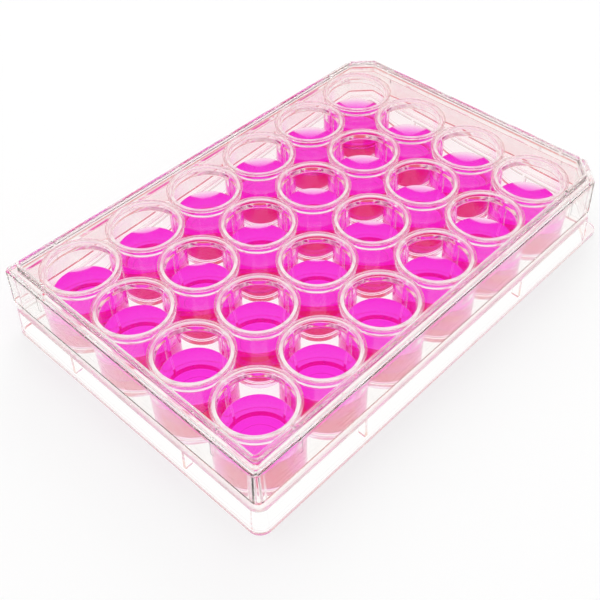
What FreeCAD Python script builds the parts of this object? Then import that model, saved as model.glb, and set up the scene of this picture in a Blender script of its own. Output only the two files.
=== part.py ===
import FreeCAD, Part
import math
import os

# Lidded multi-well culture plate: a clear moulded plate with a grid of flat-bottomed wells,
# a clear moulded lid that rests on the well rims, and the pool of medium in each well.
# Millimetres. The origin lies on the table under the centre of the foot.
# +X runs from column 1 to column 6, +Y from row D to row A, and +Z is up.

# --- wells ---
column_count = 6
row_count = 4
well_radius = 8.1
well_wall = 0.88
well_depth = 17.4
well_floor_thickness = 1.3
well_gap = 1.34
floor_lift = 1.3
window_radius = 5.8
window_recess = 0.25
web_width = 0.8
web_lift = 1.0
web_root = 0.3

# --- bands between the outer wells and the edge of the foot ---
column_1_band = 8.5
column_6_band = 4.8
row_band = 4.81

# --- foot, skirt, ledge, collar and deck of the plate ---
foot_height = 1.2
foot_corner_radius = 3.18
skirt_step = 0.25
skirt_lean = 0.35
skirt_wall = 1.2
skirt_bevel = 6.4
skirt_corner_radius = 3.3
skirt_height = 8.7
ledge_thickness = 1.2
ledge_edge = 0.8
collar_lean = 0.25
collar_wall = 1.2
collar_corner_radius = 4.4
rim_proud = 1.4
deck_thickness = 1.2
gusset_width = 0.8
gusset_root = 0.3

# --- lid ---
lid_inset = 0.73
lid_lean = 0.35
lid_wall = 1.1
lid_bevel = 7.0
lid_corner_radius = 2.5
lid_edge = 0.4
lid_gap_over_ledge = 1.9
lid_panel = 1.0
lid_shoulder_drop = 0.7
lid_shoulder_thickness = 1.1
lid_shoulder_width = 2.0
ridge_width = 0.9
ridge_height = 0.9
ridge_corner_radius = 4.6
ridge_gap = 0.6
spacer_width = 0.8
spacer_height = 4.0
spacer_root = 0.2
seal_ring_width = 0.35
seal_ring_depth = 0.4

# --- fits ---
lid_clearance = 0.35
spacer_clearance = 0.1
seal_ring_clearance = 0.17

# --- medium ---
medium_depth = 8.4
meniscus_rise = 1.45
meniscus_reach = 2.8

# --- sizes that follow from the values above ---
well_outer_radius = well_radius + well_wall
pitch = 2 * well_outer_radius + well_gap
grid_length = (column_count - 1) * pitch
grid_width = (row_count - 1) * pitch
foot_length = grid_length + 2 * well_outer_radius + column_1_band + column_6_band
foot_width = grid_width + 2 * well_outer_radius + 2 * row_band
grid_shift = (column_1_band - column_6_band) / 2

floor_height = floor_lift + well_floor_thickness
rim_height = floor_height + well_depth
deck_top = rim_height - rim_proud
ledge_underside = skirt_height - ledge_thickness
skirt_top_inset = skirt_step + skirt_lean

panel_top = rim_height + lid_panel
shoulder_top = panel_top - lid_shoulder_drop
shoulder_underside = shoulder_top - lid_shoulder_thickness
lid_bottom = skirt_height + lid_gap_over_ledge
lid_top_inset = lid_inset + lid_lean
lid_inner_top_inset = lid_top_inset + lid_wall
ridge_inset = lid_top_inset + lid_shoulder_width
panel_inset = ridge_inset + ridge_width

collar_top_inset = lid_inner_top_inset + lid_clearance
collar_foot_inset = collar_top_inset - collar_lean
gusset_lift = ridge_height + lid_shoulder_drop

column_xs = [grid_shift + (i - (column_count - 1) / 2) * pitch for i in range(column_count)]
row_ys = [((row_count - 1) / 2 - i) * pitch for i in range(row_count)]


def rounded_wire(corners, radius, z):
    """Closed level wire along a convex outline, with an arc in every corner."""
    arcs = []
    for i, (x, y) in enumerate(corners):
        here = FreeCAD.Vector(x, y, z)
        before = FreeCAD.Vector(*corners[i - 1], z)
        after = FreeCAD.Vector(*corners[(i + 1) % len(corners)], z)
        to_before = (before - here).normalize()
        to_after = (after - here).normalize()
        half_angle = to_before.getAngle(to_after) / 2
        reach = radius / math.tan(half_angle)
        inward = (to_before + to_after).normalize()
        middle = here + inward * (radius / math.sin(half_angle) - radius)
        arcs.append((here + to_before * reach, middle, here + to_after * reach))
    edges = []
    for i, (start, middle, end) in enumerate(arcs):
        edges.append(Part.Arc(start, middle, end).toShape())
        edges.append(Part.makeLine(end, arcs[(i + 1) % len(arcs)][0]))
    return Part.Wire(edges)


def outline(inset, bevel, corner_radius, z):
    """The foot's rectangle moved inwards, bevelled at its two column 1 corners."""
    x = foot_length / 2 - inset
    y = foot_width / 2 - inset
    leg = bevel - inset * (2 - math.sqrt(2))
    corners = [(x, -y), (x, y), (-x + leg, y), (-x, y - leg), (-x, -y + leg), (-x + leg, -y)]
    return rounded_wire(corners, corner_radius - inset, z)


def band(bevel, corner_radius, low, high):
    """Solid between two outlines, each given as (inset, height)."""
    wires = [outline(inset, bevel, corner_radius, z) for inset, z in (low, high)]
    return Part.makeLoft(wires, True, True)


def turned(profile):
    """Solid of revolution about Z from (radius, height) points."""
    points = [FreeCAD.Vector(r, 0, z) for r, z in profile]
    face = Part.Face(Part.makePolygon(points + points[:1]))
    return face.revolve(FreeCAD.Vector(0, 0, 0), FreeCAD.Vector(0, 0, 1), 360)


def at_wells(shape):
    """A copy of a shape, made on the Z axis, at every well."""
    return [shape.translated(FreeCAD.Vector(x, y, 0)) for y in row_ys for x in column_xs]


def box(low, high):
    """Box between two opposite corners, given in any order."""
    pairs = [sorted(pair) for pair in zip(low, high)]
    start = FreeCAD.Vector(*[pair[0] for pair in pairs])
    return Part.makeBox(*[pair[1] - pair[0] for pair in pairs], start)


def edge_bar(side, along, width, inset_out, inset_in, z_low, z_high):
    """Bar across one side's wall. side is (x, y) pointing outwards, along is its place."""
    nx, ny = side
    reach = foot_length / 2 if nx else foot_width / 2
    corners = []
    for inset, offset, z in ((inset_out, -width / 2, z_low), (inset_in, width / 2, z_high)):
        across = reach - inset
        corners.append((nx * across + abs(ny) * (along + offset),
                        ny * across + abs(nx) * (along + offset), z))
    return box(*corners)


def side_bars(end_places, long_places, *size):
    """Bars at places along both ends and along both long sides."""
    bars = [edge_bar((nx, 0), y, *size) for nx in (-1, 1) for y in end_places]
    bars += [edge_bar((0, ny), x, *size) for ny in (-1, 1) for x in long_places]
    return bars


def well_bore():
    """The space inside one well, up to the rim."""
    return turned([(0, floor_height), (well_radius, floor_height),
                   (well_radius, rim_height), (0, rim_height)])


def well_cup():
    """The outside of one well, from its raised floor, recessed under the window, up to the rim."""
    return turned([(0, floor_lift + window_recess), (window_radius, floor_lift + window_recess),
                   (window_radius, floor_lift), (well_outer_radius, floor_lift),
                   (well_outer_radius, rim_height), (0, rim_height)])


def webs():
    """Upright webs under the deck that tie each well to its neighbours."""
    half_length = well_gap / 2 + web_root
    half_width = web_width / 2
    low = floor_lift + web_lift
    high = deck_top - deck_thickness / 2
    made = []
    for x in [(a + b) / 2 for a, b in zip(column_xs, column_xs[1:])]:
        made += [box((x - half_length, y - half_width, low), (x + half_length, y + half_width, high))
                 for y in row_ys]
    for y in [(a + b) / 2 for a, b in zip(row_ys, row_ys[1:])]:
        made += [box((x - half_width, y - half_length, low), (x + half_width, y + half_length, high))
                 for x in column_xs]
    return made


def make_plate():
    """Foot, skirt, ledge and collar as one open-bottomed shell, with deck, wells, webs and gussets."""
    x = foot_length / 2
    y = foot_width / 2
    foot_wire = rounded_wire([(x, -y), (x, y), (-x, y), (-x, -y)], foot_corner_radius, 0)
    foot = Part.Face(foot_wire).extrude(FreeCAD.Vector(0, 0, foot_height))
    skirt = band(skirt_bevel, skirt_corner_radius,
                 (skirt_step, 0), (skirt_top_inset, skirt_height - ledge_edge))
    ledge = band(skirt_bevel, skirt_corner_radius,
                 (skirt_top_inset, skirt_height - ledge_edge),
                 (skirt_top_inset + ledge_edge, skirt_height))
    collar = band(lid_bevel, collar_corner_radius,
                  (collar_foot_inset, ledge_underside), (collar_top_inset, deck_top))
    skirt_hollow = band(skirt_bevel, skirt_corner_radius,
                        (skirt_step + skirt_wall, 0), (skirt_top_inset + skirt_wall, ledge_underside))
    collar_hollow = band(lid_bevel, collar_corner_radius,
                         (collar_foot_inset + collar_wall, ledge_underside),
                         (collar_top_inset + collar_wall, deck_top - deck_thickness))
    shell = foot.fuse([skirt, ledge, collar]).cut([skirt_hollow, collar_hollow])
    between_rows = [(row_ys[0] + row_ys[1]) / 2, (row_ys[-1] + row_ys[-2]) / 2]
    gussets = side_bars(between_rows, [column_xs[1], column_xs[-2]], gusset_width,
                        skirt_top_inset + gusset_root, collar_foot_inset + collar_wall,
                        gusset_lift, skirt_height - ledge_thickness / 2)
    plate = shell.fuse(gussets + webs() + at_wells(well_cup())).cut(at_wells(well_bore()))
    return plate.removeSplitter()


def make_lid():
    """Panel and shoulder with a stacking ridge, a leaning wall, seal rings and spacers."""
    wall = band(lid_bevel, lid_corner_radius,
                (lid_inset, lid_bottom), (lid_top_inset, shoulder_top - lid_edge))
    shoulder = band(lid_bevel, lid_corner_radius,
                    (lid_top_inset, shoulder_top - lid_edge), (lid_top_inset + lid_edge, shoulder_top))
    ridge = band(lid_bevel, ridge_corner_radius,
                 (ridge_inset, shoulder_underside), (ridge_inset, panel_top + ridge_height))
    wall_hollow = band(lid_bevel, lid_corner_radius,
                       (lid_inset + lid_wall, lid_bottom), (lid_inner_top_inset, shoulder_underside))
    panel_hollow = band(lid_bevel, ridge_corner_radius,
                        (panel_inset, shoulder_underside), (panel_inset, rim_height))
    panel_recess = band(lid_bevel, ridge_corner_radius,
                        (panel_inset, panel_top), (panel_inset, panel_top + ridge_height))
    lid = wall.fuse([shoulder, ridge]).cut([wall_hollow, panel_hollow, panel_recess])

    end_places = [row_ys[0], row_ys[-1]]
    long_places = [column_xs[0], column_xs[-1]]
    gaps = side_bars(end_places, long_places, ridge_gap, lid_top_inset + lid_shoulder_width / 2,
                     panel_inset + ridge_width, panel_top, panel_top + 2 * ridge_height)
    spacers = side_bars(end_places, long_places, spacer_width,
                        lid_inner_top_inset - spacer_root, collar_top_inset - spacer_clearance,
                        shoulder_underside - spacer_height, shoulder_top - lid_edge)
    ring_inside = well_outer_radius + seal_ring_clearance
    ring_outside = ring_inside + seal_ring_width
    ring = turned([(ring_inside, rim_height - seal_ring_depth), (ring_outside, rim_height - seal_ring_depth),
                   (ring_outside, rim_height + lid_panel / 2), (ring_inside, rim_height + lid_panel / 2)])
    return lid.cut(gaps).fuse(spacers + at_wells(ring)).removeSplitter()


def make_medium():
    """One pool on the Z axis: it fills the bore up to a surface that climbs at the wall."""
    level = floor_height + medium_depth
    return turned([(0, floor_height), (well_radius, floor_height),
                   (well_radius, level + meniscus_rise),
                   (well_radius - meniscus_reach, level), (0, level)])


os.makedirs("parts", exist_ok=True)
make_plate().exportStep("parts/plate.step")
make_lid().exportStep("parts/lid.step")
medium = make_medium()
for row, y in zip("abcd", row_ys):
    for column, x in enumerate(column_xs, start=1):
        pool = medium.translated(FreeCAD.Vector(x, y, 0))
        pool.exportStep(f"parts/medium_{row}{column}.step")
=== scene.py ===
"""A lidded culture plate on a pale bench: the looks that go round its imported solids.

Three sub-assemblies are built in millimetres and brought to metres at the end: the plate moulding,
the lid moulding and the pools of culture medium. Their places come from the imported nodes' boxes.
"""

import logging
import math
from dataclasses import dataclass, field
from enum import Enum
from typing import Sequence, Union

import bmesh
import bpy
from mathutils import Matrix, Vector, geometry


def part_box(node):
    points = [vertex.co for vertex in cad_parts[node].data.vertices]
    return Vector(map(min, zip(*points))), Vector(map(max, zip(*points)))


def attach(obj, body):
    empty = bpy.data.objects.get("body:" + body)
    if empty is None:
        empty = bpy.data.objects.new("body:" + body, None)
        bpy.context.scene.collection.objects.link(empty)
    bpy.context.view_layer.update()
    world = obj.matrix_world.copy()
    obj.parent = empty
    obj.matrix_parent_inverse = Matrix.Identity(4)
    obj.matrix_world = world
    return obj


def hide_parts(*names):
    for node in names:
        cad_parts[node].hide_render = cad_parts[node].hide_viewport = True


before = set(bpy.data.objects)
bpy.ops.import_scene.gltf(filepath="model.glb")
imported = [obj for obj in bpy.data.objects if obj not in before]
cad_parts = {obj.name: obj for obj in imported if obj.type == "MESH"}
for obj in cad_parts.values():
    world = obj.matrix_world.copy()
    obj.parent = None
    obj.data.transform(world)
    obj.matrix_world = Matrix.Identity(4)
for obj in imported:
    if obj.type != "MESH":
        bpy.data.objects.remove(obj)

LOG = logging.getLogger("culture_plate")
MM = 0.001
WHITE = (1.0, 1.0, 1.0, 1.0)
SHARP_ANGLE = math.radians(38)
ROUND_STEPS = 96
CORNER_STEPS = 14
LEAST_CORNER = 0.25  # mm: an inset outline keeps at least this radius
HAIR = 0.02  # mm: keeps neighbouring rings from falling together
WELD_GAP = 2e-4  # mm: points nearer than this become one
FLAT_GAP = 1e-5  # mm: the same, inside a flat face
LAND_REACH = 0.01  # mm: a face this near to a land's height belongs to it

Ring = list[Vector]
Profile = list[tuple[float, float]]
Colour = tuple[float, float, float, float]
Span = tuple[float, float]
Socket = bpy.types.NodeSocket
Feed = Union[Socket, float, Sequence[float]]


# ---------------------------------------------------------------- shapes shared by the mouldings

class Side(Enum):
    """A straight side of the plate, by the way that it faces in X and Y."""

    RIGHT = (1, 0)
    BACK = (0, 1)
    LEFT = (-1, 0)
    FRONT = (0, -1)


class Finish(Enum):
    """The finish of a face, by its place in the list of the piece's materials."""

    POLISHED = 0
    # milky white faces; on the rim tops that white is a painted highlight
    MILKY_HIGHLIGHT = 1


def add_object(name: str, data: bpy.types.ID) -> bpy.types.Object:
    """Makes an object and links it to the scene.

    Args:
        name: its name.
        data: its mesh, lamp or camera.

    Returns:
        The new object.
    """
    made = bpy.data.objects.new(name, data)
    bpy.context.scene.collection.objects.link(made)
    return made


def circle(centre: Vector, radius: float, z: float) -> Ring:
    """A level ring of points round a well's axis, anticlockwise seen from above."""
    turns = [math.tau * k / ROUND_STEPS for k in range(ROUND_STEPS)]
    return [Vector((centre.x + radius * math.cos(t), centre.y + radius * math.sin(t), z)) for t in turns]


def fillet(before: Span, here: Span, after: Span, radius: float, steps: int,
           turns_left: bool = False) -> Profile:
    """The arc that rounds one corner of a line.

    Args:
        before: the point before the corner.
        here: the corner.
        after: the point after it.
        radius: the arc's radius.
        steps: straight runs in it.
        turns_left: whether the line is known to turn left here, as an outline does. Otherwise the
            arc finds its own way round.

    Returns:
        The arc's points, in the line's order.
    """
    corner = Vector(here)
    back, on = (Vector(before) - corner).normalized(), (Vector(after) - corner).normalized()
    half = back.angle(on) / 2
    centre = corner + (back + on).normalized() * (radius / math.sin(half))
    start = corner + back * (radius / math.tan(half)) - centre
    end = corner + on * (radius / math.tan(half)) - centre
    sweep = math.pi - 2 * half if turns_left else -start.angle_signed(end)
    points = []
    for k in range(steps + 1):
        c, s = math.cos(sweep * k / steps), math.sin(sweep * k / steps)
        points.append((centre.x + start.x * c - start.y * s, centre.y + start.x * s + start.y * c))
    return points


def rounded(corners: Sequence[tuple[float, float, float]], steps: int = 4,
            enter: int = 0, leave: int = 0) -> Profile:
    """Rounds the corners of a profile.

    Args:
        corners: (across, height, radius) of each corner.
        steps: straight runs in each rounding.
        enter: the side, 1 or -1 across, that a level line comes from to the first corner. At 0 the
            profile starts there, and the corner stays sharp.
        leave: the side that a level line goes to from the last corner, in the same way.

    Returns:
        (across, height) points.
    """
    line = [(u, v) for u, v, _ in corners]
    before = [(line[0][0] + enter, line[0][1]), *line[:-1]]
    after = [*line[1:], (line[-1][0] + leave, line[-1][1])]
    points: Profile = []
    for a, here, b, (_, _, radius) in zip(before, line, after, corners):
        points += fillet(a, here, b, radius, steps) if radius > 0 and a != here != b else [here]
    return points


def inside(point: Vector, ring: Ring) -> bool:
    """Whether a point lies in a ring, seen from above.

    Args:
        point: the point.
        ring: the ring.

    Returns:
        True if it does.
    """
    hit = False
    for i, a in enumerate(ring):
        b = ring[i - 1]
        if (a.y > point.y) != (b.y > point.y):
            if point.x < (b.x - a.x) * (point.y - a.y) / (b.y - a.y) + a.x:
                hit = not hit
    return hit


@dataclass(frozen=True)
class Bars:
    """Short straight features in a wall: gussets, spacers or gaps in a ridge, in mm.

    Attributes:
        end_places: Y of each one on the two ends.
        long_places: X of each one on the two long sides.
        width: size along the wall.
        flank: run-out on each side of it.
    """

    end_places: tuple[float, ...]
    long_places: tuple[float, ...]
    width: float
    flank: float = 0.04

    def stations(self, places: tuple[float, ...]) -> list[tuple[float, bool]]:
        """Places along one side where the wall changes.

        Args:
            places: centres of the bars on that side.

        Returns:
            Pairs of the place and whether it belongs to a bar, in rising order.
        """
        half = self.width / 2
        found = []
        for p in sorted(places):
            found += [(p - half - self.flank, False), (p - half, True),
                      (p + half, True), (p + half + self.flank, False)]
        return found


@dataclass(frozen=True)
class Outline:
    """The plate's rectangle, bevelled at its two column 1 corners, with round corners, in mm.

    Attributes:
        half_length: half the foot's length.
        half_width: half the foot's width.
        bevel: leg of the bevel at no inset, or 0 for none.
        corner_radius: radius of the corners at no inset.
        bars: features along the sides that each ring has points for.
    """

    half_length: float
    half_width: float
    bevel: float
    corner_radius: float
    bars: Bars | None = None

    def ring(self, inset: float, z: float, bar_inset: float | None = None,
             bar_z: float | None = None) -> Ring:
        """One closed ring of points.

        Args:
            inset: distance inwards from the foot's rectangle.
            z: height.
            bar_inset: inset of the points that belong to a bar, if it differs.
            bar_z: height of the points that belong to a bar, if it differs.

        Returns:
            The ring's points, anticlockwise seen from above.
        """
        x, y = self.half_length - inset, self.half_width - inset
        if self.bevel > 0:
            leg = self.bevel - inset * (2 - math.sqrt(2))
            corners = [((x, -y), Side.RIGHT), ((x, y), Side.BACK), ((-x + leg, y), None),
                       ((-x, y - leg), Side.LEFT), ((-x, -y + leg), None), ((-x + leg, -y), Side.FRONT)]
        else:
            corners = [((x, -y), Side.RIGHT), ((x, y), Side.BACK),
                       ((-x, y), Side.LEFT), ((-x, -y), Side.FRONT)]
        radius = max(self.corner_radius - inset, LEAST_CORNER)
        bar = (inset if bar_inset is None else bar_inset, z if bar_z is None else bar_z)
        points: Ring = []
        for i, (corner, side) in enumerate(corners):
            after = corners[(i + 1) % len(corners)][0]
            arc = fillet(corners[i - 1][0], corner, after, radius, CORNER_STEPS, turns_left=True)
            points += [Vector((u, v, z)) for u, v in arc]
            if self.bars and side:
                points += self._side(side, (inset, z), bar)
        return points

    def _side(self, side: Side, wall: Span, bar: Span) -> Ring:
        """Points of the bars along one side, in the ring's order.

        Args:
            side: the side.
            wall: (inset, height) of the points beside a bar.
            bar: (inset, height) of the points that belong to one.

        Returns:
            The points.
        """
        nx, ny = side.value
        stations = self.bars.stations(self.bars.end_places if nx else self.bars.long_places)
        if side in (Side.LEFT, Side.BACK):
            stations = stations[::-1]
        points = []
        for along, in_bar in stations:
            inset, z = bar if in_bar else wall
            x, y = nx * (self.half_length - inset), ny * (self.half_width - inset)
            points.append(Vector((x, along, z) if nx else (along, y, z)))
        return points


@dataclass
class Skin:
    """Collects the faces of one closed moulded body, in mm.

    Attributes:
        points: the points of every face.
        faces: each face, as the numbers of its points.
        milky_highlight: numbers of the faces with the milky finish, which paints a highlight on the rim
            tops.
        lands: level rings that get it too: (axis, inner radius, outer radius, height).
        bars: upright blocks that the body is joined with: (lowest corner, highest corner).
    """

    points: list[Vector] = field(default_factory=list)
    faces: list[list[int]] = field(default_factory=list)
    milky_highlight: set[int] = field(default_factory=set)
    lands: list[tuple[Vector, float, float, float]] = field(default_factory=list)
    bars: list[tuple[Vector, Vector]] = field(default_factory=list)

    def _number(self, ring: Ring) -> list[int]:
        """Adds points.

        Args:
            ring: the points.

        Returns:
            Their numbers.
        """
        first = len(self.points)
        self.points += ring
        return list(range(first, len(self.points)))

    def _mark(self, first: int, finish: Finish) -> None:
        """Notes the finish of the faces from a number on."""
        if finish is Finish.MILKY_HIGHLIGHT:
            self.milky_highlight.update(range(first, len(self.faces)))

    def disc(self, ring: Ring) -> None:
        """Closes a level ring with one flat face."""
        self.faces.append(self._number(ring))

    def strip(self, rings: Sequence[Ring], finish: Finish = Finish.POLISHED) -> None:
        """Joins closed rings of equal length, each to the next.

        Args:
            rings: the rings, in order.
            finish: the faces' finish.
        """
        first = len(self.faces)
        numbers = [self._number(r) for r in rings]
        for a, b in zip(numbers, numbers[1:]):
            for i in range(len(a)):
                self.faces.append([a[i - 1], a[i], b[i], b[i - 1]])
        self._mark(first, finish)

    def turned(self, centre: Vector, profile: Profile) -> None:
        """A surface of revolution round a well's axis; a last radius of 0 closes it with a disc.

        Args:
            centre: the well's axis.
            profile: (radius, height) points.
        """
        closed = profile[-1][0] == 0
        rings = [circle(centre, r, z) for r, z in (profile[:-1] if closed else profile)]
        self.strip(rings)
        if closed:
            self.disc(rings[-1])

    def level(self, outer: Ring, holes: Sequence[Ring], finish: Finish = Finish.POLISHED) -> None:
        """A flat face between an outer ring and the rings of its holes.

        Args:
            outer: the outer ring.
            holes: the rings that bound its holes.
            finish: the face's finish.
        """
        start = len(self.faces)
        flat, edges = [], []
        for ring in [outer, *holes]:
            first = len(flat)
            flat += [p.to_2d() for p in ring]
            edges += [(first + i, first + (i + 1) % len(ring)) for i in range(len(ring))]
        found, _, triangles, *_ = geometry.delaunay_2d_cdt(flat, edges, [], 1, FLAT_GAP)
        numbers = self._number([Vector((p.x, p.y, outer[0].z)) for p in found])
        bounds = [(min(p.x for p in h), max(p.x for p in h), min(p.y for p in h), max(p.y for p in h), h)
                  for h in holes]
        for t in triangles:
            middle = sum((found[i] for i in t), Vector((0, 0))) / len(t)
            if not any(x0 < middle.x < x1 and y0 < middle.y < y1 and inside(middle, h)
                       for x0, x1, y0, y1, h in bounds):
                self.faces.append([numbers[i] for i in t])
        self._mark(start, finish)

    def _on_land(self, middle: Vector) -> bool:
        """Whether a face lies on one of the lands.

        Args:
            middle: the face's middle.

        Returns:
            True if it does.
        """
        return any(abs(middle.z - z) < LAND_REACH
                   and inner < math.hypot(middle.x - c.x, middle.y - c.y) < outer
                   for c, inner, outer, z in self.lands)

    def _weld(self, mesh: bpy.types.Mesh) -> None:
        """Welds a mesh's faces into one smooth body that faces outwards, in metres.

        Args:
            mesh: the mesh, which is changed.
        """
        body = bmesh.new()
        body.from_mesh(mesh)
        bmesh.ops.remove_doubles(body, verts=body.verts, dist=WELD_GAP)
        bmesh.ops.recalc_face_normals(body, faces=body.faces)
        loose = sum(1 for e in body.edges if len(e.link_faces) != 2)
        if loose:
            LOG.warning("%s has %d open edges", mesh.name, loose)
        for f in body.faces:
            f.smooth = True
            if self._on_land(f.calc_center_median()):
                f.material_index = Finish.MILKY_HIGHLIGHT.value
        bmesh.ops.scale(body, vec=(MM, MM, MM), verts=body.verts)
        body.to_mesh(mesh)
        body.free()

    def _join_bars(self, made: bpy.types.Object) -> None:
        """Joins the upright blocks to a piece, without inner faces.

        Args:
            made: the piece, in metres.
        """
        body = bmesh.new()
        for low, high in self.bars:
            size = Matrix.Diagonal((*((high - low) * MM), 1))
            bmesh.ops.create_cube(body, size=1, matrix=Matrix.Translation((low + high) / 2 * MM) @ size)
        blocks = bpy.data.meshes.new("blocks")
        body.to_mesh(blocks)
        body.free()
        blocks.materials.append(made.data.materials[0])
        tool = add_object("blocks", blocks)
        union = made.modifiers.new("union", "BOOLEAN")
        union.operation = "UNION"
        union.solver = "MANIFOLD"
        union.object = tool
        joined = bpy.data.meshes.new_from_object(made.evaluated_get(bpy.context.evaluated_depsgraph_get()))
        made.modifiers.remove(union)
        bpy.data.objects.remove(tool)
        made.data = joined

    def piece(self, name: str, *materials: bpy.types.Material) -> bpy.types.Object:
        """Makes the body one piece of the scene.

        Args:
            name: the piece's name.
            *materials: its polished finish, and its milky one, a painted highlight on the rim tops, if it
                        has any.

        Returns:
            The new object.
        """
        mesh = bpy.data.meshes.new(name)
        mesh.from_pydata(self.points, [], self.faces)
        for i in self.milky_highlight:
            mesh.polygons[i].material_index = Finish.MILKY_HIGHLIGHT.value
        self._weld(mesh)
        for material in materials:
            mesh.materials.append(material)
        made = add_object(name, mesh)
        if self.bars:
            self._join_bars(made)
        made.data.set_sharp_from_angle(angle=SHARP_ANGLE)
        even = made.modifiers.new("even normals", "WEIGHTED_NORMAL")
        even.keep_sharp = True
        return made


# ---------------------------------------------------------------- finishes

@dataclass(frozen=True)
class Grain:
    """Fine unevenness that is fixed to a piece.

    Attributes:
        scale: waves in a metre.
        detail: number of finer layers.
        roughness: how much of each finer layer shows.
    """

    scale: float
    detail: float
    roughness: float


class Reckoning(Enum):
    """What a step of arithmetic works on, by its node's type name."""

    NUMBERS = "ShaderNodeMath"
    VECTORS = "ShaderNodeVectorMath"


@dataclass(frozen=True)
class Nodes:
    """Shorthand for wiring one material or the world."""

    tree: bpy.types.NodeTree

    def feed(self, value: Feed, target: Socket) -> None:
        """Wires an output to an input, or gives the input a fixed value.

        Args:
            value: the output, number, colour or vector.
            target: the input.
        """
        if isinstance(value, Socket):
            self.tree.links.new(value, target)
        else:
            target.default_value = value

    def add(self, kind: str, **values: object) -> bpy.types.Node:
        """Adds a node and sets its properties and inputs.

        Args:
            kind: the node's type name.
            **values: properties, or inputs with underscores for spaces.

        Returns:
            The new node.
        """
        node = self.tree.nodes.new(kind)
        for key, value in values.items():
            if hasattr(node, key):
                setattr(node, key, value)
            else:
                self.feed(value, node.inputs[key.replace("_", " ")])
        return node

    def reckon(self, operation: str, *values: Feed, on: Reckoning = Reckoning.NUMBERS) -> Socket:
        """One step of arithmetic.

        Args:
            operation: the step's name.
            *values: what goes into it.
            on: whether these are numbers or vectors.

        Returns:
            The number that comes out.
        """
        step = self.add(on.value, operation=operation)
        for value, target in zip(values, step.inputs):
            self.feed(value, target)
        return step.outputs["Value"]

    def spread(self, value: Socket, span: Span, over: Span) -> Socket:
        """Carries a number from its own span over to another, and stops at the ends."""
        return self.add("ShaderNodeMapRange", Value=value, From_Min=span[0], From_Max=span[1],
                        To_Min=over[0], To_Max=over[1]).outputs["Result"]

    def noise(self, grain: Grain) -> Socket:
        """Noise in a piece's own space.

        Args:
            grain: its scale and detail.

        Returns:
            The noise, mostly from 0.3 to 0.7.
        """
        place = self.add("ShaderNodeTexCoord").outputs["Object"]
        return self.add("ShaderNodeTexNoise", Vector=place, Scale=grain.scale, Detail=grain.detail,
                        Roughness=grain.roughness).outputs["Fac"]

    def bump(self, grain: Grain, strength: float, height: float) -> Socket:
        """The normals of a slightly uneven surface, with the height of its grain in metres."""
        return self.add("ShaderNodeBump", Strength=strength, Distance=height,
                        Height=self.noise(grain)).outputs["Normal"]

    def blend(self, share: Feed, first: Socket, second: Socket) -> Socket:
        """Mixes two shaders.

        Args:
            share: how much of the second one shows, from 0 to 1.
            first: the first shader.
            second: the second shader.

        Returns:
            The mixed shader.
        """
        mix = self.add("ShaderNodeMixShader")
        for value, target in zip((share, first, second), mix.inputs):
            self.feed(value, target)
        return mix.outputs[0]

    def blend_colours(self, share: Feed, first: Feed, second: Feed) -> Socket:
        """Mixes two colours.

        Args:
            share: how much of the second one shows, from 0 to 1.
            first: the first colour.
            second: the second colour.

        Returns:
            The mixed colour.
        """
        factor, colour_a, colour_b, result = 0, 6, 7, 2
        mix = self.add("ShaderNodeMix", data_type="RGBA")
        for value, place in ((share, factor), (first, colour_a), (second, colour_b)):
            self.feed(value, mix.inputs[place])
        return mix.outputs[result]

    def let_lamps_through(self, shader: Socket, tint: Colour) -> Socket:
        """Makes a clear shader cast a tinted shadow instead of a black one.

        Args:
            shader: the clear shader.
            tint: the colour that the lamps' light takes at each surface.

        Returns:
            The shader to use as the surface.
        """
        path = self.add("ShaderNodeLightPath")
        open_way = self.add("ShaderNodeBsdfTransparent", Color=tint)
        return self.blend(path.outputs["Is Shadow Ray"], shader, open_way.outputs[0])


def fresh_material(name: str) -> tuple[bpy.types.Material, Nodes]:
    """An empty node material.

    Args:
        name: the material's name.

    Returns:
        The material and the helper for its nodes.
    """
    material = bpy.data.materials.new(name)
    material.use_nodes = True
    material.node_tree.nodes.clear()
    return material, Nodes(material.node_tree)


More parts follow.
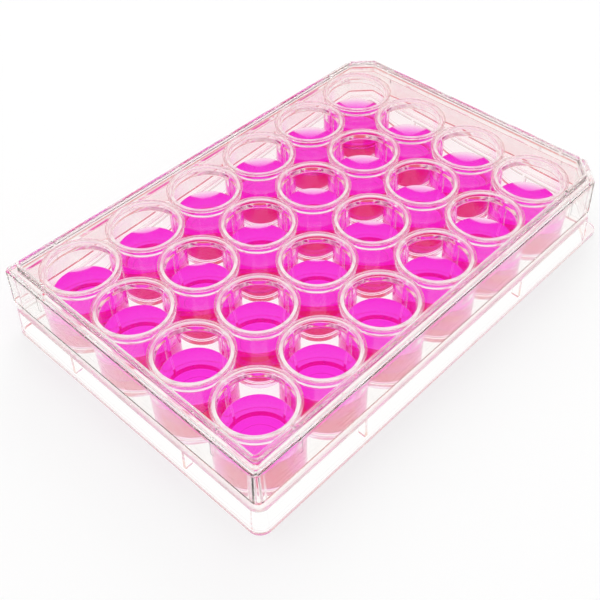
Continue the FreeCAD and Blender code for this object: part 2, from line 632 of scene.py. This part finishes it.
@dataclass(frozen=True)
class MouldedPlastic:
    """Crystal-clear polystyrene as it leaves the mould.

    Attributes:
        name: the material's name.
        index: refractive index.
        tint: what it does to the light that goes through it.
        shadow_tint: the same for its shadow, at each surface.
        glare: share of the reflections that shows.
        flow: waves that the melt leaves.
        flow_strength: how much of them shows.
        flow_height: their height, in metres.
        wear: unevenness of the polish.
        wear_span: the span of it over which the polish changes.
        polish: roughness at the two ends of that span.
        wall_haze: share of bloom on upright faces.
        upright: faces whose normal rises less than this are upright.
        bloom_colour: colour of the bloom.
        bloom_span: the span of the wear over which the bloom changes.
        bloom_swing: part of the bloom at the two ends of that span.
    """

    name: str = "clear_polystyrene"
    index: float = 1.59
    tint: Colour = (1.0, 0.996, 0.99, 1.0)
    shadow_tint: Colour = (0.985, 0.978, 0.975, 1.0)
    glare: Colour = (0.25, 0.25, 0.25, 1.0)
    flow: Grain = Grain(55.0, 3.0, 0.45)
    flow_strength: float = 0.35
    flow_height: float = 0.000012
    wear: Grain = Grain(330.0, 6.0, 0.6)
    wear_span: Span = (0.45, 0.8)
    polish: Span = (0.0, 0.045)
    wall_haze: float = 0.0
    upright: float = 0.3
    bloom_colour: Colour = (1.0, 0.985, 0.965, 1.0)
    bloom_span: Span = (0.3, 0.7)
    bloom_swing: Span = (0.7, 1.3)

    def _hazy_walls(self, n: Nodes, clear: Socket, wear: Socket) -> Socket:
        """Adds the faint bloom of drafted faces, which leave the mould less polished.

        Args:
            n: the material's nodes.
            clear: the clear shader.
            wear: noise that breaks up the bloom.

        Returns:
            The shader with the bloom on its upright faces.
        """
        face = n.add("ShaderNodeNewGeometry")
        lean = n.add("ShaderNodeSeparateXYZ", Vector=face.outputs["True Normal"])
        upright = n.reckon("LESS_THAN", n.reckon("ABSOLUTE", lean.outputs["Z"]), self.upright)
        least, most = self.bloom_swing
        bloom = n.spread(wear, self.bloom_span, (self.wall_haze * least, self.wall_haze * most))
        front = n.add("ShaderNodeBsdfDiffuse", Color=self.bloom_colour)
        behind = n.add("ShaderNodeBsdfTranslucent", Color=self.bloom_colour)
        milky = n.blend(0.5, front.outputs[0], behind.outputs[0])
        return n.blend(n.reckon("MULTIPLY", upright, bloom), clear, milky)

    def make(self) -> bpy.types.Material:
        """Clear plastic with faint flow waves and uneven polish.

        Returns:
            The material.
        """
        material, n = fresh_material(self.name)
        wear = n.noise(self.wear)
        clear = n.add("ShaderNodeBsdfPrincipled", Base_Color=self.tint, IOR=self.index,
                      Transmission_Weight=1.0, Specular_Tint=self.glare,
                      Roughness=n.spread(wear, self.wear_span, self.polish),
                      Normal=n.bump(self.flow, self.flow_strength, self.flow_height))
        surface = clear.outputs[0]
        if self.wall_haze:
            surface = self._hazy_walls(n, surface, wear)
        n.add("ShaderNodeOutputMaterial", Surface=n.let_lamps_through(surface, self.shadow_tint))
        return material


@dataclass(frozen=True)
class MilkyHighlightLand:
    """Milky white faces: the rims' flat tops, the foot and the ledge's rounding; on the rims a painted
    highlight for their glare.

    Attributes:
        name: the material's name.
        index: refractive index.
        colour: colour of the milky part.
        shadow_tint: what it does to its shadow, at each surface.
        clear: share that is clear.
        grain: its unevenness.
        polish: roughness at the two ends of the grain.
    """

    name: str = "milky_highlight_land"
    index: float = 1.59
    colour: Colour = (1.0, 0.995, 0.99, 1.0)
    shadow_tint: Colour = (0.9, 0.89, 0.89, 1.0)
    clear: float = 0.7
    grain: Grain = Grain(900.0, 4.0, 0.6)
    polish: Span = (0.1, 0.25)

    def make(self) -> bpy.types.Material:
        """Milky plastic with a fine grain, which is clear from within. Its lit white is a painted
        highlight on the rims.

        Returns:
            The material.
        """
        material, n = fresh_material(self.name)
        rough = n.spread(n.noise(self.grain), (0.0, 1.0), self.polish)
        milky = n.add("ShaderNodeBsdfPrincipled", Base_Color=self.colour, IOR=self.index,
                      Transmission_Weight=self.clear, Roughness=rough)
        within = n.add("ShaderNodeBsdfPrincipled", Base_Color=self.colour, IOR=self.index,
                       Transmission_Weight=1.0, Roughness=self.polish[0])
        side = n.add("ShaderNodeNewGeometry")
        sides = n.blend(side.outputs["Backfacing"], milky.outputs[0], within.outputs[0])
        n.add("ShaderNodeOutputMaterial", Surface=n.let_lamps_through(sides, self.shadow_tint))
        return material


@dataclass(frozen=True)
class CultureMedium:
    """Magenta water-based medium, deep in colour where the way through it is long.

    Attributes:
        name: the material's name.
        index: refractive index.
        tint: what its surface does to the light that goes through it.
        shadow_tint: the same for its shadow, at each surface.
        glare: share of the reflections that shows.
        absorbed: the colour that its depth leaves.
        per_metre: how fast it does.
        ripple: waves on its surface.
        ripple_strength: how much of them shows.
        ripple_height: their height, in metres.
    """

    name: str = "culture_medium"
    index: float = 1.335
    tint: Colour = (1.0, 0.97, 0.995, 1.0)
    shadow_tint: Colour = (1.0, 0.8, 0.96, 1.0)
    glare: Colour = (0.6, 0.6, 0.6, 1.0)
    absorbed: Colour = (0.989, 0.0, 0.918, 1.0)
    per_metre: float = 340.0
    ripple: Grain = Grain(120.0, 2.0, 0.4)
    ripple_strength: float = 0.25
    ripple_height: float = 0.000006

    def make(self) -> bpy.types.Material:
        """Coloured liquid with a nearly still surface.

        Returns:
            The material.
        """
        material, n = fresh_material(self.name)
        liquid = n.add("ShaderNodeBsdfPrincipled", Base_Color=self.tint, IOR=self.index,
                       Transmission_Weight=1.0, Roughness=0.0, Specular_Tint=self.glare,
                       Normal=n.bump(self.ripple, self.ripple_strength, self.ripple_height))
        depth = n.add("ShaderNodeVolumeAbsorption", Color=self.absorbed, Density=self.per_metre)
        n.add("ShaderNodeOutputMaterial", Volume=depth.outputs[0],
              Surface=n.let_lamps_through(liquid.outputs[0], self.shadow_tint))
        return material


@dataclass(frozen=True)
class PaleBench:
    """White matt bench top that keeps the plate's soft shadow.

    Attributes:
        name: the material's name.
        colour: its colour.
        glow: how far it is lifted to white beside the plate.
        fade_radii: distances from the middle between which the lift becomes whole, in metres.
    """

    name: str = "pale_bench"
    colour: Colour = (0.93, 0.93, 0.93, 1.0)
    glow: float = 0.6
    fade_radii: Span = (0.14, 0.5)

    def make(self) -> bpy.types.Material:
        """Matt white, lifted towards white where the eye or clear plastic sees it.

        Returns:
            The material.
        """
        material, n = fresh_material(self.name)
        matt = n.add("ShaderNodeBsdfDiffuse", Color=self.colour)
        lit = n.add("ShaderNodeEmission", Color=WHITE, Strength=1.0)
        path = n.add("ShaderNodeLightPath")
        place = n.add("ShaderNodeTexCoord").outputs["Object"]
        away = n.reckon("LENGTH", place, on=Reckoning.VECTORS)
        glow = n.spread(away, self.fade_radii, (self.glow, 1.0))
        by_eye = n.reckon("MULTIPLY", path.outputs["Is Camera Ray"], glow)
        through = n.reckon("MAXIMUM", path.outputs["Is Glossy Ray"], path.outputs["Is Transmission Ray"])
        share = n.reckon("MAXIMUM", by_eye, through)
        n.add("ShaderNodeOutputMaterial", Surface=n.blend(share, matt.outputs[0], lit.outputs[0]))
        return material


# ---------------------------------------------------------------- sub-assemblies

@dataclass(frozen=True)
class Box:
    """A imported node's box, in mm."""

    low: Vector
    high: Vector

    @classmethod
    def of(cls, node: str) -> "Box":
        """The box of a node at rest."""
        low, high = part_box(node)
        return cls(Vector(low) / MM, Vector(high) / MM)

    @property
    def centre(self) -> Vector:
        """The middle of the box."""
        return (self.low + self.high) / 2


def well_places() -> dict[str, Vector]:
    """The axis of each well, in mm, by the name of the medium node in it."""
    nodes = sorted(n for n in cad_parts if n.startswith("medium_"))
    return {n: Box.of(n).centre for n in nodes}


def well_lines(wells: dict[str, Vector]) -> tuple[list[float], list[float]]:
    """The X of each column of wells and the Y of each row, in rising order."""
    places = wells.values()
    return sorted({round(c.x, 3) for c in places}), sorted({round(c.y, 3) for c in places})


@dataclass
class PlateMoulding:
    """Foot, skirt, ledge, collar, deck and wells in one open-bottomed moulding, in mm.

    An inset is measured inwards from the foot's rectangle, and a height from the bench. A bevel and
    a corner are the outline's own at no inset. A round is the radius of an outer edge, and a root
    the radius of an inner one.
    """

    wells: dict[str, Vector]
    box: Box = field(default_factory=lambda: Box.of("plate"))
    foot_height: float = 1.2
    foot_corner: float = 3.18
    foot_lower_round: float = 0.12
    foot_upper_round: float = 0.08
    skirt_step: float = 0.25
    skirt_top_inset: float = 0.6
    skirt_bevel: float = 6.4
    skirt_corner: float = 3.3
    skirt_wall: float = 1.2
    ledge_top: float = 8.7
    ledge_underside: float = 7.5
    ledge_round: float = 1.1
    ledge_root: float = 0.3
    collar_foot_inset: float = 2.28
    collar_top_inset: float = 2.53
    collar_bevel: float = 7.0
    collar_corner: float = 4.4
    collar_wall: float = 1.2
    collar_root: float = 0.3
    deck_thickness: float = 1.2
    deck_round: float = 0.45
    deck_root: float = 0.4
    rim_proud: float = 1.4
    rim_root: float = 0.25
    rim_outer_round: float = 0.12
    rim_inner_round: float = 0.18
    mouth_radius: float = 8.1
    floor_radius: float = 7.68
    floor_height: float = 2.6
    floor_root: float = 0.55
    cup_radius: float = 8.98
    cup_foot_radius: float = 8.84
    cup_underside: float = 1.3
    cup_round: float = 0.4
    cup_root: float = 0.3
    window_radius: float = 5.8
    window_recess: float = 0.25
    window_round: float = 0.06
    window_root: float = 0.1
    gusset_width: float = 0.8
    gusset_lift: float = 1.6
    web_width: float = 0.8
    web_foot: float = 2.3
    web_overlap: float = 0.3
    seat_gap: float = 0.02

    @property
    def rim(self) -> float:
        """Height of the well rims, a hair under the lid's panel."""
        return self.box.high.z - self.seat_gap

    @property
    def deck_top(self) -> float:
        """Height of the deck."""
        return self.box.high.z - self.rim_proud

    @property
    def deck_underside(self) -> float:
        """Height of the deck's underside."""
        return self.deck_top - self.deck_thickness

    def outline(self, bevel: float, corner: float, bars: Bars | None = None) -> Outline:
        """The outline family of one wall."""
        half = (self.box.high - self.box.low) / 2
        return Outline(half.x, half.y, bevel, corner, bars)

    def gussets(self) -> Bars:
        """The gussets under the ledge: midway between the outer rows, and at columns 2 and 5.

        Returns:
            Their places and width.
        """
        xs, ys = well_lines(self.wells)
        ends = (round((ys[0] + ys[1]) / 2, 3), round((ys[-1] + ys[-2]) / 2, 3))
        return Bars(ends, (xs[1], xs[-2]), self.gusset_width)

    def outer_walls(self, skin: Skin) -> tuple[Ring, Ring]:
        """Foot, skirt, ledge and collar, up to the deck's edge.

        Args:
            skin: the moulding's faces.

        Returns:
            The ring round the foot's bottom and the ring round the deck.
        """
        foot = self.outline(0, self.foot_corner)
        skirt = self.outline(self.skirt_bevel, self.skirt_corner)
        collar = self.outline(self.collar_bevel, self.collar_corner)
        edge = rounded([(0, 0, self.foot_lower_round), (0, self.foot_height, self.foot_upper_round)],
                       enter=1, leave=1)
        foot_rings = [foot.ring(u, v) for u, v in edge]
        skin.strip(foot_rings, Finish.MILKY_HIGHLIGHT)
        side = rounded([(self.skirt_step, self.foot_height, 0),
                        (self.skirt_top_inset, self.ledge_top, self.ledge_round)], steps=5, leave=1)
        skirt_rings = [skirt.ring(u, v) for u, v in side]
        skin.strip(skirt_rings[:2])
        skin.strip(skirt_rings[1:], Finish.MILKY_HIGHLIGHT)
        skin.level(foot_rings[-1], [skirt_rings[0]])
        rise = rounded([(self.collar_foot_inset, self.ledge_top, self.collar_root),
                        (self.collar_top_inset, self.deck_top, self.deck_round)], enter=-1, leave=1)
        collar_rings = [collar.ring(u, v) for u, v in rise]
        skin.strip(collar_rings)
        skin.level(skirt_rings[-1], [collar_rings[0]])
        return foot_rings[0], collar_rings[-1]

    def inner_walls(self, skin: Skin, foot: Ring) -> Ring:
        """The hollow underside's walls, with the gussets, and the foot's bottom.

        Args:
            skin: the moulding's faces.
            foot: the ring round the foot's bottom.

        Returns:
            The ring that bounds the deck's underside.
        """
        bars = self.gussets()
        skirt = self.outline(self.skirt_bevel, self.skirt_corner, bars)
        collar = self.outline(self.collar_bevel, self.collar_corner, bars)
        low, high = self.skirt_step + self.skirt_wall, self.skirt_top_inset + self.skirt_wall
        at_lift = low + (high - low) / self.ledge_underside * self.gusset_lift
        reach = self.collar_foot_inset + self.collar_wall
        rings = [skirt.ring(low, 0), skirt.ring(at_lift, self.gusset_lift - HAIR),
                 skirt.ring(at_lift, self.gusset_lift, reach - HAIR)]
        turn = rounded([(at_lift, self.gusset_lift, 0), (high, self.ledge_underside, self.ledge_root)],
                       leave=1)
        rings += [skirt.ring(u, v, reach - HAIR) for u, v in turn[1:]]
        skin.strip(rings)
        rise = rounded([(reach, self.ledge_underside, 0),
                        (self.collar_top_inset + self.collar_wall, self.deck_underside, self.deck_root)],
                       leave=1)
        collar_rings = [collar.ring(u, v) for u, v in rise]
        skin.strip(collar_rings)
        skin.strip([rings[-1], collar_rings[0]])
        skin.level(foot, [rings[0]], Finish.MILKY_HIGHLIGHT)
        return collar_rings[-1]

    def webs(self, skin: Skin) -> None:
        """Upright webs under the deck that tie each well to its neighbours.

        Args:
            skin: the moulding's faces.
        """
        xs, ys = well_lines(self.wells)
        long, wide = (xs[1] - xs[0]) / 2 - self.cup_radius + self.web_overlap, self.web_width / 2
        top = self.deck_top - self.deck_thickness / 2
        middles = [((a + b) / 2, y, long, wide) for a, b in zip(xs, xs[1:]) for y in ys]
        middles += [(x, (a + b) / 2, wide, long) for a, b in zip(ys, ys[1:]) for x in xs]
        for x, y, dx, dy in middles:
            skin.bars.append((Vector((x - dx, y - dy, self.web_foot)), Vector((x + dx, y + dy, top))))

    def well_top(self) -> Profile:
        """Profile from the deck over the rim and down to the well's floor.

        Returns:
            (radius, height) points.
        """
        return rounded([(self.cup_radius, self.deck_top, self.rim_root),
                        (self.cup_radius, self.rim, self.rim_outer_round),
                        (self.mouth_radius, self.rim, self.rim_inner_round),
                        (self.floor_radius, self.floor_height, self.floor_root),
                        (0, self.floor_height, 0)], enter=1)

    def well_under(self) -> Profile:
        """Profile from the deck's underside down the cup and across its bottom.

        Returns:
            (radius, height) points.
        """
        window = self.cup_underside + self.window_recess
        return rounded([(self.cup_radius, self.deck_underside, self.cup_root),
                        (self.cup_foot_radius, self.cup_underside, self.cup_round),
                        (self.window_radius + self.window_round, self.cup_underside, self.window_round),
                        (self.window_radius, window, self.window_root),
                        (0, window, 0)], steps=3, enter=1)

    def build(self, material: bpy.types.Material, land: bpy.types.Material) -> bpy.types.Object:
        """Builds the whole moulding.

        Args:
            material: its finish.
            land: its milky finish, a painted highlight on the rim tops.

        Returns:
            The plate moulding.
        """
        skin = Skin()
        foot, deck_edge = self.outer_walls(skin)
        under_edge = self.inner_walls(skin, foot)
        top, under = self.well_top(), self.well_under()
        for centre in self.wells.values():
            skin.turned(centre, top)
            skin.turned(centre, under)
            # the rim tops take the milky finish: a painted highlight for the glare off them
            skin.lands.append((centre, self.mouth_radius, self.cup_radius, self.rim))
        skin.level(deck_edge, [circle(c, *top[0]) for c in self.wells.values()])
        skin.level(under_edge, [circle(c, *under[0]) for c in self.wells.values()])
        self.webs(skin)
        made = skin.piece("plate_moulding", material, land)
        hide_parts("plate")
        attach(made, "root")
        return made


@dataclass
class LidMoulding:
    """Panel, shoulder, stacking ridge and leaning wall in one moulding, in mm.

    Insets, heights, rounds and roots are measured as on the plate.
    """

    wells: dict[str, Vector]
    footprint: Box = field(default_factory=lambda: Box.of("plate"))
    box: Box = field(default_factory=lambda: Box.of("lid"))
    wall: float = 1.1
    wall_foot_inset: float = 0.73
    wall_top_inset: float = 1.08
    wall_foot_round: float = 0.15
    bevel: float = 7.0
    corner: float = 2.5
    shoulder_drop: float = 0.7
    shoulder_thickness: float = 1.1
    shoulder_round: float = 0.45
    shoulder_root: float = 0.4
    panel: float = 1.0
    step_round: float = 0.15
    ridge_inset: float = 3.08
    ridge_width: float = 0.9
    ridge_height: float = 0.9
    ridge_corner: float = 4.6
    ridge_lean: float = 0.04
    ridge_round: float = 0.3
    ridge_root: float = 0.2
    gap_width: float = 0.6
    spacer_width: float = 0.8
    spacer_depth: float = 0.25
    spacer_height: float = 4.0
    ring_radius: float = 9.15
    ring_width: float = 0.35
    ring_depth: float = 0.4
    ring_lean: float = 0.03
    ring_round: float = 0.1

    @property
    def panel_top(self) -> float:
        """Height of the panel's upper face."""
        return self.box.high.z - self.ridge_height

    @property
    def panel_underside(self) -> float:
        """Height of the panel's lower face, which rests on the rims."""
        return self.panel_top - self.panel

    @property
    def shoulder_top(self) -> float:
        """Height of the shoulder outside the ridge."""
        return self.panel_top - self.shoulder_drop

    @property
    def ridge_inner(self) -> float:
        """Inset of the ridge's inner side."""
        return self.ridge_inset + self.ridge_width

    def outline(self, corner: float, width: float) -> Outline:
        """The outline family of a wall, with bars on the outer wells' centre lines.

        Args:
            corner: radius of its corners at no inset.
            width: width of the bars.

        Returns:
            The outline.
        """
        half = (self.footprint.high - self.footprint.low) / 2
        xs, ys = well_lines(self.wells)
        return Outline(half.x, half.y, self.bevel, corner, Bars((ys[0], ys[-1]), (xs[0], xs[-1]), width))

    def outer_walls(self, skin: Skin) -> tuple[Ring, Ring]:
        """The wall, the shoulder and the ridge with its gaps.

        Args:
            skin: the moulding's faces.

        Returns:
            The ring round the wall's lower edge and the ring that bounds the panel's upper face.
        """
        wall = self.outline(self.corner, self.gap_width)
        ridge = self.outline(self.ridge_corner, self.gap_width)
        rise = rounded([(self.wall_foot_inset, self.box.low.z, self.wall_foot_round),
                        (self.wall_top_inset, self.shoulder_top, self.shoulder_round)], enter=1, leave=1)
        rings = [wall.ring(u, v) for u, v in rise]
        skin.strip(rings)
        crest = self.box.high.z
        over = rounded([(self.ridge_inset, self.shoulder_top, self.ridge_root),
                        (self.ridge_inset + self.ridge_lean, crest, self.ridge_round),
                        (self.ridge_inner - self.ridge_lean, crest, self.ridge_round),
                        (self.ridge_inner, self.panel_top, self.ridge_root)], enter=-1, leave=1)
        ridge_rings = [ridge.ring(u, v, bar_z=min(v, self.panel_top)) for u, v in over]
        skin.strip(ridge_rings)
        skin.level(rings[-1], [ridge_rings[0]])
        return rings[0], ridge_rings[-1]

    def inner_walls(self, skin: Skin, edge: Ring) -> Ring:
        """The hollow side: wall, spacers, shoulder's underside and the step up to the panel.

        Args:
            skin: the moulding's faces.
            edge: the ring round the wall's lower edge.

        Returns:
            The ring that bounds the panel's lower face.
        """
        wall = self.outline(self.corner, self.spacer_width)
        step = self.outline(self.ridge_corner, self.spacer_width)
        bottom, under = self.box.low.z, self.shoulder_top - self.shoulder_thickness
        low, high = self.wall_foot_inset + self.wall, self.wall_top_inset + self.wall
        foot = under - self.spacer_height
        at_foot = low + (high - low) * (foot - bottom) / (under - bottom)
        rings = [wall.ring(low, bottom), wall.ring(at_foot, foot - HAIR),
                 wall.ring(at_foot, foot, at_foot + self.spacer_depth)]
        turn = rounded([(at_foot, foot, 0), (high, under, self.shoulder_root)], leave=1)
        rings += [wall.ring(u, v, u + self.spacer_depth) for u, v in turn[1:]]
        skin.strip(rings)
        rise = rounded([(self.ridge_inner, under, self.step_round),
                        (self.ridge_inner, self.panel_underside, self.step_round)], enter=-1, leave=1)
        step_rings = [step.ring(u, v) for u, v in rise]
        skin.strip(step_rings)
        skin.level(rings[-1], [step_rings[0]])
        skin.level(edge, [rings[0]])
        return step_rings[-1]

    def seal_ring(self) -> Profile:
        """Profile across one ring on the panel's underside, from its outside to its inside.

        Returns:
            (radius, height) points.
        """
        top, bottom = self.panel_underside, self.panel_underside - self.ring_depth
        inner, outer = self.ring_radius, self.ring_radius + self.ring_width
        return rounded([(outer, top, self.ring_round), (outer - self.ring_lean, bottom, self.ring_round),
                        (inner + self.ring_lean, bottom, self.ring_round), (inner, top, self.ring_round)],
                       steps=3, enter=1, leave=-1)

    def build(self, material: bpy.types.Material) -> bpy.types.Object:
        """Builds the whole moulding.

        Args:
            material: its finish.

        Returns:
            The lid moulding.
        """
        skin = Skin()
        wall_edge, panel_edge = self.outer_walls(skin)
        under_edge = self.inner_walls(skin, wall_edge)
        skin.level(panel_edge, [])
        profile = self.seal_ring()
        for centre in self.wells.values():
            skin.turned(centre, profile)
            skin.disc(circle(centre, *profile[-1]))
        skin.level(under_edge, [circle(c, *profile[0]) for c in self.wells.values()])
        made = skin.piece("lid_moulding", material)
        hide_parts("lid")
        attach(made, "root")
        return made


@dataclass
class MediumPools:
    """The pools of culture medium, one in each well, in mm.

    Attributes:
        wells: the wells' axes, by the name of the medium node in each.
        plate: the plate that holds them.
        contact_height: height at which the surface meets the wall.
        contact_slope: its slope there, in radians.
        capillary_length: the liquid's own, which sets how wide the climb at the wall is.
        surface_steps: points on the curve of the surface.
        surface_crowding: above 1, the points crowd towards the still middle.
        still_radius: radius of the flat middle.
        overlap: how far the liquid reaches into the plastic, so that no air shows between them.
    """

    wells: dict[str, Vector]
    plate: PlateMoulding
    contact_height: float = 12.44
    contact_slope: float = math.radians(31)
    capillary_length: float = 3.0
    surface_steps: int = 20
    surface_crowding: float = 1.25
    still_radius: float = 1.0
    overlap: float = 0.04

    def meniscus(self) -> Profile:
        """The free surface beside a wall.

        Returns:
            Points as (distance from the wall, height over the point of contact).
        """
        a = self.capillary_length
        top = 2 * a * math.sin(self.contact_slope / 2)
        start = math.sqrt(4 - (top / a) ** 2) - math.acosh(2 * a / top)
        found = []
        for k in range(self.surface_steps):
            fall = (1 - k / self.surface_steps) ** self.surface_crowding
            h = 2 * a * math.sin(self.contact_slope / 2 * fall)
            found.append((a * (math.acosh(2 * a / h) - math.sqrt(4 - (h / a) ** 2) + start), h - top))
        return found

    def profile(self) -> Profile:
        """Half section of a pool, from the middle of its surface to the middle of its floor.

        Returns:
            (radius, height) points.
        """
        plate = self.plate
        slope = (plate.mouth_radius - plate.floor_radius) / (plate.rim - plate.floor_height)
        wall = plate.floor_radius + slope * (self.contact_height - plate.floor_height) + self.overlap
        floor = plate.floor_height - self.overlap
        surface = [(wall - gap, self.contact_height + drop) for gap, drop in self.meniscus()
                   if gap < wall - self.still_radius]
        lower = rounded([(wall, self.contact_height, 0),
                         (plate.floor_radius + self.overlap, floor, plate.floor_root),
                         (0, floor, 0)], steps=5)
        return surface[::-1] + lower[1:]

    def build(self, material: bpy.types.Material) -> list[bpy.types.Object]:
        """Builds every pool.

        Args:
            material: their finish.

        Returns:
            The pools.
        """
        made = []
        profile = self.profile()
        for node, centre in self.wells.items():
            skin = Skin()
            skin.turned(centre, profile)
            skin.disc(circle(centre, *profile[0]))
            pool = skin.piece(node.replace("medium", "pool"), material)
            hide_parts(node)
            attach(pool, "root")
            made.append(pool)
        return made


# ---------------------------------------------------------------- studio

@dataclass(frozen=True)
class Lamp:
    """One soft box.

    Attributes:
        name: its name.
        place: where it hangs, in metres.
        size: its two sides, in metres.
        power: its power, in watts.
    """

    name: str
    place: tuple[float, float, float]
    size: Span
    power: float

    def hang(self) -> bpy.types.Object:
        """Makes the lamp and turns it to the plate.

        Returns:
            The lamp, which shows in no reflection.
        """
        data = bpy.data.lights.new(self.name, "AREA")
        data.shape = "RECTANGLE"
        data.size, data.size_y = self.size
        data.energy = self.power
        made = add_object(self.name, data)
        made.location = self.place
        made.rotation_euler = (-Vector(self.place)).to_track_quat("-Z", "Y").to_euler()
        made.visible_glossy = False
        made.visible_transmission = False
        return made


@dataclass(frozen=True)
class Studio:
    """Pale bench, soft light and the camera.

    Attributes:
        lamps: the soft boxes.
        sky: colour of the light all round.
        sky_even: colour of the light that matt surfaces get instead.
        card: colour of a deep rose card, which keeps glare off the lid and deepens the far walls.
        card_way: the way to the card.
        card_edges: cosines of its outer and inner angles.
        wall: colour of the room just over the bench.
        wall_edges: sines of the angles between which the wall gives way to the sky.
        floor_size: side of the bench, in metres.
        floor_drop: how far it lies under the foot, in metres.
        camera_place: where the camera stands, in metres.
        camera_turn: the way that it looks, clockwise from Y, in radians.
        camera_tilt: how far it looks up, in radians.
        camera_roll: how far it leans, in radians.
        focal_length: its lens, in mm.
        sensor: its sensor's width, in mm.
        nearest: how near it sees, in metres.
        clear_bounces: surfaces that light may cross or reflect from.
        shadow_bounces: clear surfaces that a shadow may cross.
        matt_bounces: matt surfaces that light may bounce from.
    """

    lamps: tuple[Lamp, ...] = (
        Lamp("soft_top", (0.1, -0.1, 0.9), (1.0, 1.0), 7.4),
        Lamp("soft_back", (-0.75, -0.55, 0.6), (0.9, 0.6), 4.2),
        Lamp("soft_side", (-0.3, 0.85, 0.5), (0.8, 0.5), 2.6),
    )
    sky: Colour = (0.95, 0.73, 0.64, 1.0)
    sky_even: Colour = (0.15, 0.15, 0.15, 1.0)
    card: Colour = (0.78, 0.1, 0.14, 1.0)
    card_way: tuple[float, float, float] = (-0.494, -0.491, 0.717)
    card_edges: Span = (math.cos(math.radians(34)), math.cos(math.radians(22)))
    wall: Colour = (0.72, 0.7, 0.68, 1.0)
    wall_edges: Span = (math.sin(math.radians(10)), math.sin(math.radians(22)))
    floor_size: float = 6.0
    floor_drop: float = 0.00005
    camera_place: tuple[float, float, float] = (0.12475, 0.11632, 0.16698)
    camera_turn: float = math.pi + 0.7885
    camera_tilt: float = -0.7991
    camera_roll: float = -0.0278
    focal_length: float = 55.5054
    sensor: float = 36.0
    nearest: float = 0.01
    clear_bounces: int = 96
    shadow_bounces: int = 48
    matt_bounces: int = 3

    def lay_bench(self, material: bpy.types.Material) -> bpy.types.Object:
        """Lays the floor under the plate.

        Args:
            material: its finish.

        Returns:
            The floor.
        """
        half, z = self.floor_size / 2, -self.floor_drop
        mesh = bpy.data.meshes.new("bench")
        corners = [(-half, -half, z), (half, -half, z), (half, half, z), (-half, half, z)]
        mesh.from_pydata(corners, [], [(0, 1, 2, 3)])
        mesh.materials.append(material)
        floor = add_object("bench", mesh)
        return floor

    def light_sky(self) -> None:
        """Lights the room: peach all round, a paler wall low down and the deep rose card.

        Matt surfaces get even grey light instead, and the eye sees plain white.
        """
        world = bpy.data.worlds.new("studio")
        bpy.context.scene.world = world
        world.use_nodes = True
        world.node_tree.nodes.clear()
        n = Nodes(world.node_tree)
        way = n.add("ShaderNodeTexCoord").outputs["Generated"]
        toward = n.reckon("DOT_PRODUCT", way, self.card_way, on=Reckoning.VECTORS)
        card = n.add("ShaderNodeValToRGB", Fac=toward)
        for i, colour in enumerate((self.sky, self.card)):
            end = card.color_ramp.elements[i]
            end.position, end.color = self.card_edges[i], colour
        height = n.add("ShaderNodeSeparateXYZ", Vector=way).outputs["Z"]
        over_wall = n.spread(height, self.wall_edges, (0.0, 1.0))
        room = n.blend_colours(over_wall, self.wall, card.outputs["Color"])
        path = n.add("ShaderNodeLightPath")
        on_matt = n.blend_colours(path.outputs["Is Diffuse Ray"], room, self.sky_even)
        seen = n.blend_colours(path.outputs["Is Camera Ray"], on_matt, WHITE)
        shade = n.add("ShaderNodeBackground", Color=seen, Strength=1.0)
        n.add("ShaderNodeOutputWorld", Surface=shade.outputs[0])

    def set_camera(self) -> bpy.types.Object:
        """Sets up the camera, which looks down over the column 6 corner.

        Returns:
            The camera.
        """
        a, e, r = self.camera_turn, self.camera_tilt, self.camera_roll
        ahead = Vector((math.sin(a) * math.cos(e), math.cos(a) * math.cos(e), math.sin(e)))
        right = Vector((math.cos(a), -math.sin(a), 0))
        up = right.cross(ahead)
        leaning_right = right * math.cos(r) + up * math.sin(r)
        leaning_up = up * math.cos(r) - right * math.sin(r)
        data = bpy.data.cameras.new("camera")
        data.lens = self.focal_length
        data.sensor_width = self.sensor
        data.clip_start = self.nearest
        made = add_object("camera", data)
        turn = Matrix((leaning_right, leaning_up, -ahead)).transposed().to_4x4()
        made.matrix_world = Matrix.Translation(self.camera_place) @ turn
        bpy.context.scene.camera = made
        return made

    def set_light_paths(self) -> None:
        """Lets light pass through the stacked clear walls."""
        cycles = bpy.context.scene.cycles
        cycles.max_bounces = self.clear_bounces
        cycles.transmission_bounces = self.clear_bounces
        cycles.glossy_bounces = self.clear_bounces
        cycles.transparent_max_bounces = self.shadow_bounces
        cycles.diffuse_bounces = self.matt_bounces
        cycles.volume_bounces = 0
        cycles.caustics_reflective = False
        cycles.caustics_refractive = False

    def build(self) -> None:
        """Sets up the whole studio."""
        self.lay_bench(PaleBench().make())
        self.light_sky()
        for lamp in self.lamps:
            lamp.hang()
        self.set_camera()
        self.set_light_paths()
        bpy.context.scene.view_settings.view_transform = "Standard"


def main() -> None:
    """Builds the plate, the lid, the pools and the studio."""
    logging.basicConfig(level=logging.INFO, format="%(name)s: %(message)s")
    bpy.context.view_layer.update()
    wells = well_places()
    plate = PlateMoulding(wells)
    pieces = [plate.build(MouldedPlastic().make(), MilkyHighlightLand().make())]
    lid_plastic = MouldedPlastic("clear_polystyrene_lid", wall_haze=0.05)
    pieces.append(LidMoulding(wells).build(lid_plastic.make()))
    pieces += MediumPools(wells, plate).build(CultureMedium().make())
    for piece in pieces:
        LOG.info("%s: %d faces", piece.name, len(piece.data.polygons))
    Studio().build()


if __name__ == "__main__":
    main()
